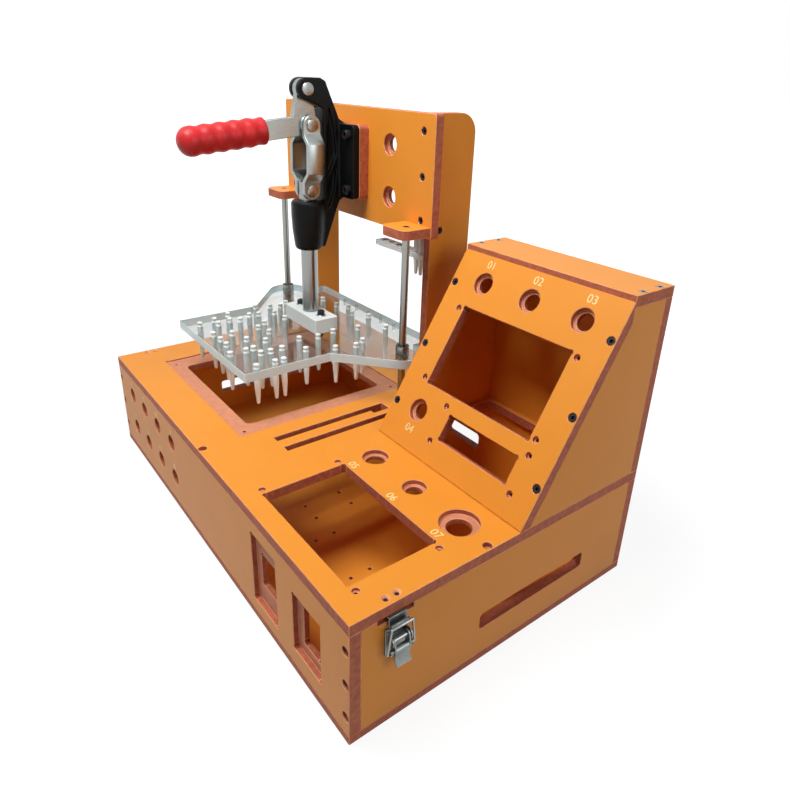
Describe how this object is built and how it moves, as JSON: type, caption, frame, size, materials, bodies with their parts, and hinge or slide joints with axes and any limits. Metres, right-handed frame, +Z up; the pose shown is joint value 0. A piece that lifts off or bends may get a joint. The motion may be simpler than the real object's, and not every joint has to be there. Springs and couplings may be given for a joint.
{
  "type": "pcb test fixture",
  "caption": "Bench fixture for testing circuit boards: a laminate box with a hinged deck, a sloped control box and a toggle clamp that presses a clear plate of push pins onto the board.",
  "frame": {"origin": "middle of the underside of the base", "axes": "+X to the operator's right, +Y to the rear, +Z up"},
  "size_m": [0.56, 0.3304, 0.4462],
  "materials": {
    "laminate": "orange phenolic laminate sheet, satin, with brown cut edges",
    "black_oxide": "black oxide screws",
    "steel": "ground steel",
    "zinc": "zinc plated sheet steel",
    "black_cast": "black textured casting",
    "clear_acrylic": "clear acrylic, polished",
    "frosted_plastic": "translucent white plastic",
    "red_grip": "dipped red vinyl"
  },
  "bodies": {
    "base": {"bottom_plate": "laminate", "front_wall": "laminate", "rear_wall": "laminate", "left_wall": "laminate", "right_wall": "laminate", "wall_screws": "black_oxide", "bottom_screws": "steel", "left_hinge_base_leaf": "zinc", "right_hinge_base_leaf": "zinc", "hinge_pins": "steel", "left_latch_base": "zinc", "right_latch_base": "zinc", "latch_pins": "steel"},
    "lid": {"top_plate": "laminate", "left_hinge_deck_leaf": "zinc", "right_hinge_deck_leaf": "zinc", "left_keeper": "zinc", "right_keeper": "zinc", "keeper_screws": "steel", "panel_front": "laminate", "panel_top": "laminate", "panel_rear": "laminate", "panel_left_side": "laminate", "panel_right_side": "laminate", "panel_cap_screws": "black_oxide", "panel_top_screws": "steel", "left_upright": "laminate", "right_upright": "laminate", "cross_plate": "laminate", "cross_plate_screws": "black_oxide", "rear_brace": "laminate", "brace_screws": "black_oxide", "left_rod_lug": "laminate", "right_rod_lug": "laminate", "rod_screws": "black_oxide", "left_guide_rod": "steel", "right_guide_rod": "steel", "clamp_spacer": "laminate", "clamp_body": "black_cast", "clamp_screws": "black_oxide", "upper_pivot_pin": "steel", "pin_rack": "clear_acrylic", "rack_pins": "frosted_plastic"},
    "plunger": {"plunger_rod": "steel", "lower_pivot_pin": "steel", "mounting_block": "clear_acrylic", "block_screws": "black_oxide", "press_plate": "clear_acrylic", "push_pins": "frosted_plastic", "left_bush": "steel", "right_bush": "steel"},
    "handle": {"handle_bar": "zinc", "handle_grip": "red_grip"},
    "links": {"left_link": "zinc", "right_link": "zinc", "elbow_rivets": "steel"},
    "right_latch_lever": {"right_latch_lever": "zinc"},
    "left_latch_lever": {"left_latch_lever": "zinc"},
    "right_latch_bail": {"right_latch_bail": "steel"},
    "left_latch_bail": {"left_latch_bail": "steel"}
  },
  "joints": [
    {"name": "lid_hinge", "type": "hinge", "parent": "base", "child": "lid", "pos_m": [0, 0.1654, 0.106], "axis": [-1, 0, 0], "range_deg": [0, 70]},
    {"name": "handle_pivot", "type": "hinge", "parent": "lid", "child": "handle", "pos_m": [-0.11, 0.024, 0.435], "axis": [-1, 0, 0], "range_deg": [0, 97.02]},
    {"name": "plunger_slide", "type": "slide", "parent": "lid", "child": "plunger", "axis": [0, 0, 1], "range_m": [0, 0.0479]},
    {"name": "link_swing", "type": "hinge", "parent": "plunger", "child": "links", "pos_m": [-0.11, 0.027, 0.33078], "axis": [1, 0, 0], "range_deg": [0, 35.88]},
    {"name": "right_latch_turn", "type": "hinge", "parent": "base", "child": "right_latch_lever", "pos_m": [0.2705, -0.1225, 0.087], "axis": [0, -1, 0], "range_deg": [0, 110]},
    {"name": "right_bail_turn", "type": "hinge", "parent": "right_latch_lever", "child": "right_latch_bail", "pos_m": [0.272, -0.1225, 0.0785], "axis": [0, 1, 0], "range_deg": [0, 143]},
    {"name": "left_latch_turn", "type": "hinge", "parent": "base", "child": "left_latch_lever", "pos_m": [-0.2705, -0.1225, 0.087], "axis": [0, 1, 0], "range_deg": [0, 110]},
    {"name": "left_bail_turn", "type": "hinge", "parent": "left_latch_lever", "child": "left_latch_bail", "pos_m": [-0.272, -0.1225, 0.0785], "axis": [0, -1, 0], "range_deg": [0, 143]}
  ],
  "couplings": [
    {"joint": "plunger_slide", "follows": "handle_pivot", "m_per_rad": 0.028288},
    {"joint": "link_swing", "follows": "handle_pivot", "ratio": 0.36978},
    {"joint": "right_bail_turn", "follows": "right_latch_turn", "ratio": 1.3},
    {"joint": "left_bail_turn", "follows": "left_latch_turn", "ratio": 1.3}
  ]
}
